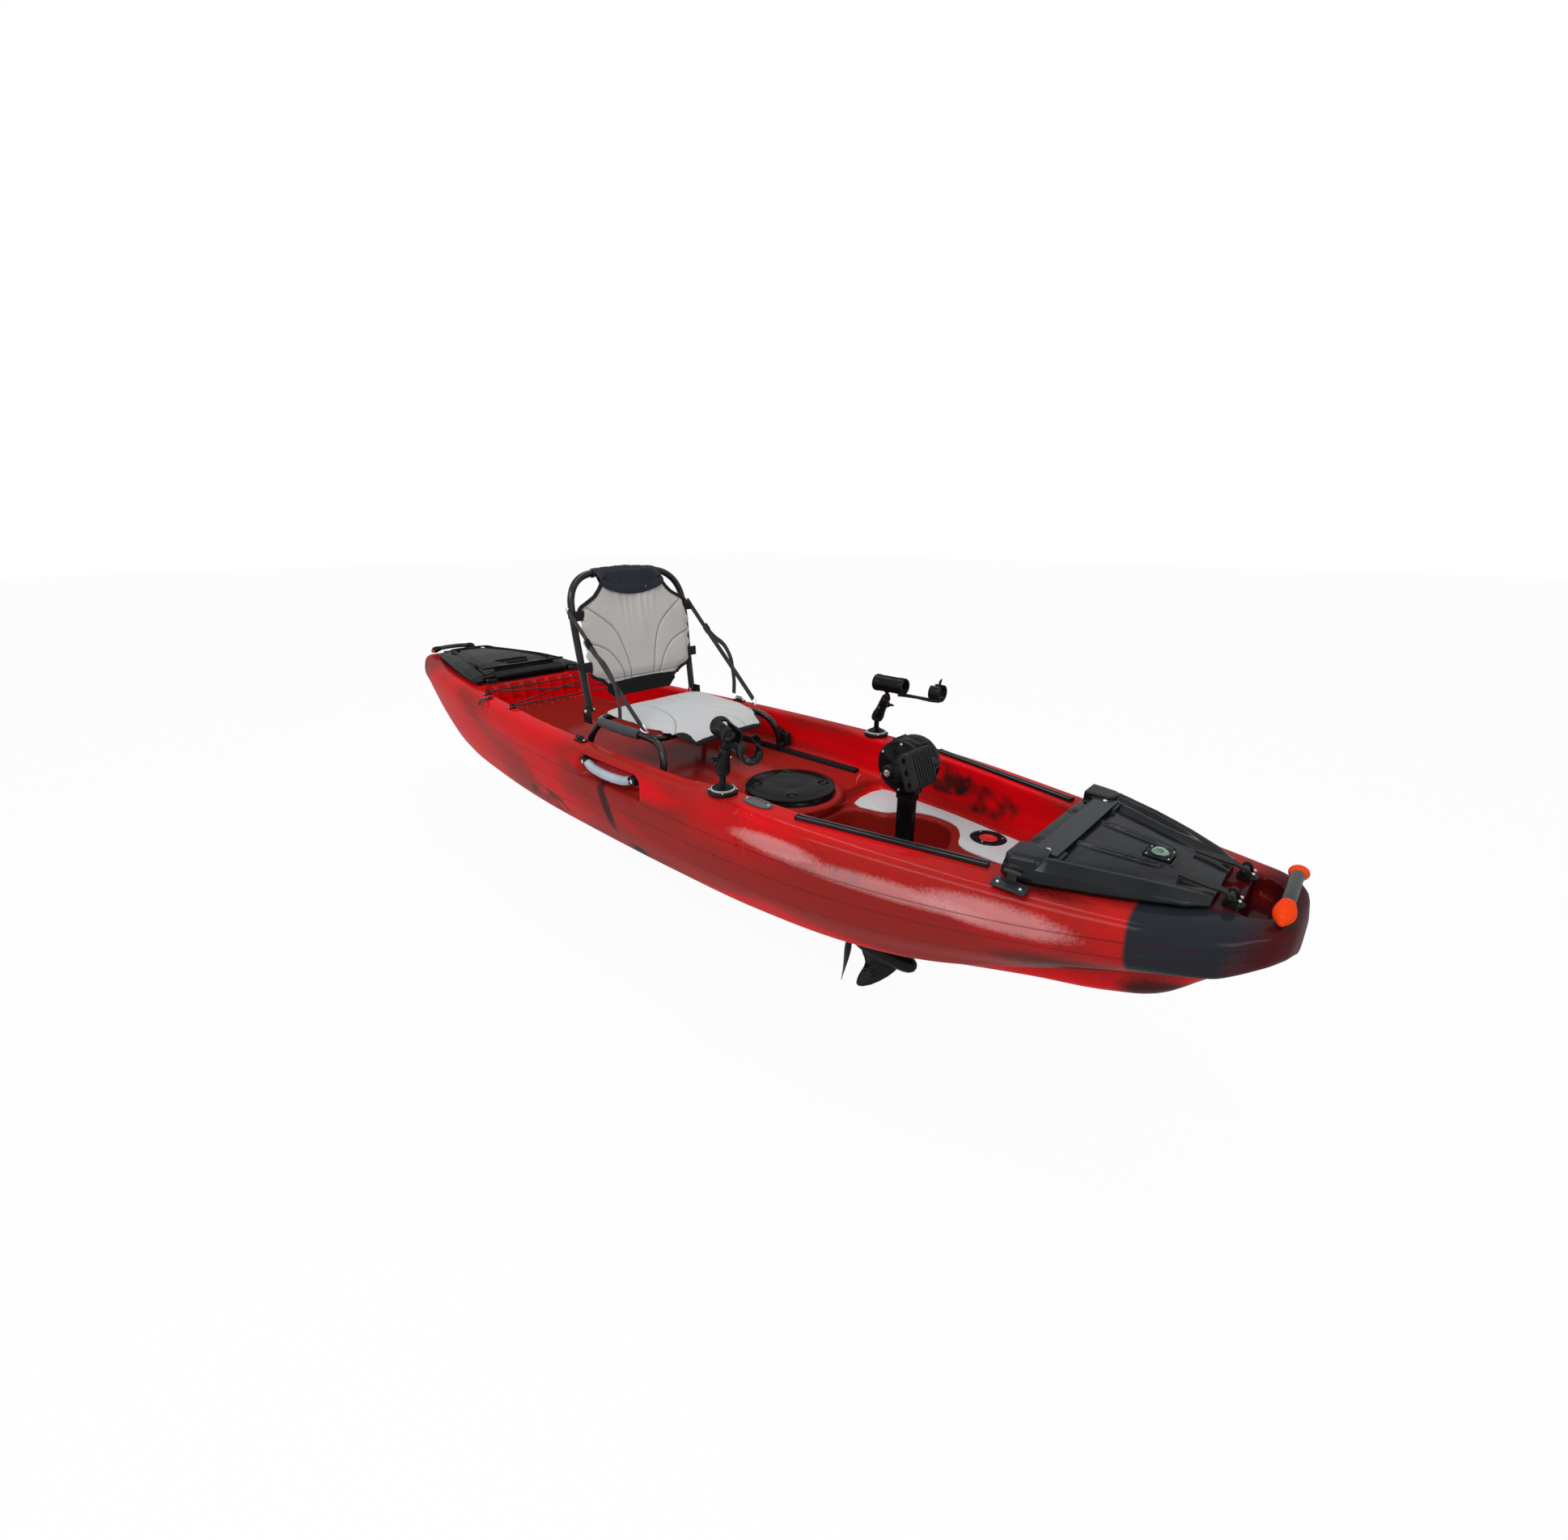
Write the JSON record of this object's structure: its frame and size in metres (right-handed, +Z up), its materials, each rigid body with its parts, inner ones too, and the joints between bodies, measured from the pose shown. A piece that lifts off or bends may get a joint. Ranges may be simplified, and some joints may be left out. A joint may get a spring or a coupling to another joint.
{
  "type": "pedal kayak",
  "caption": "Sit-on-top fishing kayak with a lift-out pedal drive, sliding folding seat, hinged hatches, swivelling rod holders and carry handles.",
  "frame": {"origin": "on the flat keel runner, amidships", "axes": "+X towards the bow, +Y to port, +Z up"},
  "size_m": [3.9348, 0.9188, 1.2742],
  "materials": {
    "hull": "rotomoulded red polyethylene with dark camouflage patches",
    "charcoal": "moulded charcoal plastic",
    "black": "moulded black plastic",
    "rubber": "soft black rubber",
    "steel": "bright steel",
    "track": "black anodised aluminium",
    "tube": "black coated aluminium tube",
    "mat": "light grey foam mat",
    "grip": "grey-blue rubber grip",
    "pad": "light grey woven seat fabric over foam",
    "webbing": "charcoal webbing"
  },
  "bodies": {
    "hull": {"hull": "hull", "round_hatch_collar": "black", "gear_track_starboard": "track", "gear_track_port": "track", "seat_rail_starboard": "black", "seat_rail_port": "black", "footwell_mat_starboard": "mat", "footwell_mat_port": "mat", "bow_hinge_base_starboard": "black", "bow_hinge_base_port": "black", "rod_holder_base_starboard": "black", "rod_holder_base_port": "black", "bow_handle": "grip", "stern_handle": "grip", "pad_eye_rear_starboard": "black", "pad_eye_rear_port": "black", "pad_eye_front_starboard": "black", "pad_eye_front_port": "black", "tank_bungee": "rubber", "drain_plug": "black"},
    "bow_hatch": {"bow_hatch_lid": "charcoal", "bow_lid_strap": "black", "compass": "black", "bow_hinge_leaf_starboard": "black", "bow_hinge_leaf_port": "black"},
    "stern_hatch": {"stern_hatch_lid": "black"},
    "round_hatch": {"round_hatch_lid": "black"},
    "drive": {"gearbox_housing": "black", "gearbox_cover": "black", "drive_tower": "black", "drive_mount_plate": "black", "lower_unit": "black"},
    "crank": {"crank_axle": "steel", "crank_arm_starboard": "black", "crank_arm_port": "black"},
    "drive_shaft": {"drive_shaft": "steel"},
    "propeller": {"propeller_shaft": "steel", "propeller": "black"},
    "seat": {"seat_base_frame": "tube", "seat_clamp_starboard": "black", "seat_clamp_port": "black", "seat_pad": "pad"},
    "seat_back": {"seat_back_frame": "tube", "seat_back_panel": "pad", "seat_strap_starboard": "webbing", "seat_strap_port": "webbing"},
    "bow_latch_starboard": {"bow_latch_starboard": "rubber"},
    "stern_latch_starboard": {"stern_latch_starboard": "black"},
    "side_handle_starboard": {"side_handle_starboard": "grip"},
    "rod_arm_starboard": {"rod_arm_starboard": "black"},
    "rod_knob_starboard": {"rod_knob_starboard": "black"},
    "rod_cradle_starboard": {"rod_cradle_starboard": "black"},
    "pedal_starboard": {"pedal_starboard": "black"},
    "bow_latch_port": {"bow_latch_port": "rubber"},
    "stern_latch_port": {"stern_latch_port": "black"},
    "side_handle_port": {"side_handle_port": "grip"},
    "rod_arm_port": {"rod_arm_port": "black"},
    "rod_knob_port": {"rod_knob_port": "black"},
    "rod_cradle_port": {"rod_cradle_port": "black"},
    "pedal_port": {"pedal_port": "black"}
  },
  "joints": [
    {"name": "bow_hatch_open", "type": "hinge", "parent": "hull", "child": "bow_hatch", "pos_m": [1.858, 0, 0.412], "axis": [0, 1, 0], "range_deg": [0, 100]},
    {"name": "stern_hatch_open", "type": "hinge", "parent": "hull", "child": "stern_hatch", "pos_m": [-1.802, 0, 0.44], "axis": [0, -1, 0], "range_deg": [0, 100]},
    {"name": "round_hatch_lift", "type": "slide", "parent": "hull", "child": "round_hatch", "axis": [0, 0, 1], "range_m": [0, 0.12]},
    {"name": "bow_latch_turn_starboard", "type": "hinge", "parent": "hull", "child": "bow_latch_starboard", "pos_m": [1.515, -0.2895, 0.396], "axis": [1, 0, 0], "range_deg": [0, 110]},
    {"name": "stern_latch_turn_starboard", "type": "hinge", "parent": "stern_hatch", "child": "stern_latch_starboard", "pos_m": [-0.992, -0.205, 0.43], "axis": [0, -1, 0], "range_deg": [0, 90]},
    {"name": "side_handle_swing_starboard", "type": "hinge", "parent": "hull", "child": "side_handle_starboard", "pos_m": [0.245, -0.4065, 0.358], "axis": [-1, 0, 0], "range_deg": [0, 60]},
    {"name": "bow_latch_turn_port", "type": "hinge", "parent": "hull", "child": "bow_latch_port", "pos_m": [1.515, 0.2895, 0.396], "axis": [-1, 0, 0], "range_deg": [0, 110]},
    {"name": "stern_latch_turn_port", "type": "hinge", "parent": "stern_hatch", "child": "stern_latch_port", "pos_m": [-0.992, 0.205, 0.43], "axis": [0, -1, 0], "range_deg": [0, 90]},
    {"name": "side_handle_swing_port", "type": "hinge", "parent": "hull", "child": "side_handle_port", "pos_m": [0.245, 0.4065, 0.358], "axis": [1, 0, 0], "range_deg": [0, 60]},
    {"name": "drive_lift", "type": "slide", "parent": "hull", "child": "drive", "axis": [0, 0, 1], "range_m": [0, 0.62]},
    {"name": "crank_spin", "type": "hinge", "parent": "drive", "child": "crank", "pos_m": [1.085, 0, 0.478], "axis": [0, 1, 0], "continuous": true},
    {"name": "drive_shaft_spin", "type": "hinge", "parent": "drive", "child": "drive_shaft", "pos_m": [1.085, 0, 0], "axis": [0, 0, 1], "continuous": true},
    {"name": "propeller_spin", "type": "hinge", "parent": "drive", "child": "propeller", "pos_m": [0.912, 0, -0.155], "axis": [1, 0, 0], "continuous": true},
    {"name": "pedal_spin_starboard", "type": "hinge", "parent": "crank", "child": "pedal_starboard", "pos_m": [1.20282, 0, 0.53294], "axis": [0, 1, 0], "continuous": true},
    {"name": "pedal_spin_port", "type": "hinge", "parent": "crank", "child": "pedal_port", "pos_m": [0.96718, 0, 0.42306], "axis": [0, 1, 0], "continuous": true},
    {"name": "seat_slide", "type": "slide", "parent": "hull", "child": "seat", "axis": [1, 0, 0], "range_m": [-0.1, 0.08]},
    {"name": "seat_back_fold", "type": "hinge", "parent": "seat", "child": "seat_back", "pos_m": [-0.117, 0, 0.453], "axis": [0, 1, 0], "range_deg": [0, 70], "deforming": ["seat_strap_starboard", "seat_strap_port"]},
    {"name": "rod_swivel_starboard", "type": "hinge", "parent": "hull", "child": "rod_arm_starboard", "pos_m": [0.727, -0.36, 0.462], "axis": [0, 0, 1], "range_deg": [-65, 45]},
    {"name": "rod_tilt_starboard", "type": "hinge", "parent": "rod_arm_starboard", "child": "rod_cradle_starboard", "pos_m": [0.75963, -0.37521, 0.5445], "axis": [-0.4226, -0.9063, 0], "range_deg": [-15, 30]},
    {"name": "rod_knob_turn_starboard", "type": "hinge", "parent": "rod_arm_starboard", "child": "rod_knob_starboard", "pos_m": [0.7444, -0.36811, 0.50599], "axis": [0.4226, 0.9063, 0], "continuous": true},
    {"name": "rod_swivel_port", "type": "hinge", "parent": "hull", "child": "rod_arm_port", "pos_m": [0.727, 0.36, 0.462], "axis": [0, 0, 1], "range_deg": [-20, 90]},
    {"name": "rod_tilt_port", "type": "hinge", "parent": "rod_arm_port", "child": "rod_cradle_port", "pos_m": [0.763, 0.36, 0.5445], "axis": [0, -1, 0], "range_deg": [-15, 30]},
    {"name": "rod_knob_turn_port", "type": "hinge", "parent": "rod_arm_port", "child": "rod_knob_port", "pos_m": [0.7462, 0.36, 0.50599], "axis": [0, 1, 0], "continuous": true}
  ],
  "couplings": [
    {"joint": "drive_shaft_spin", "follows": "crank_spin", "ratio": 4},
    {"joint": "propeller_spin", "follows": "crank_spin", "ratio": -8}
  ]
}
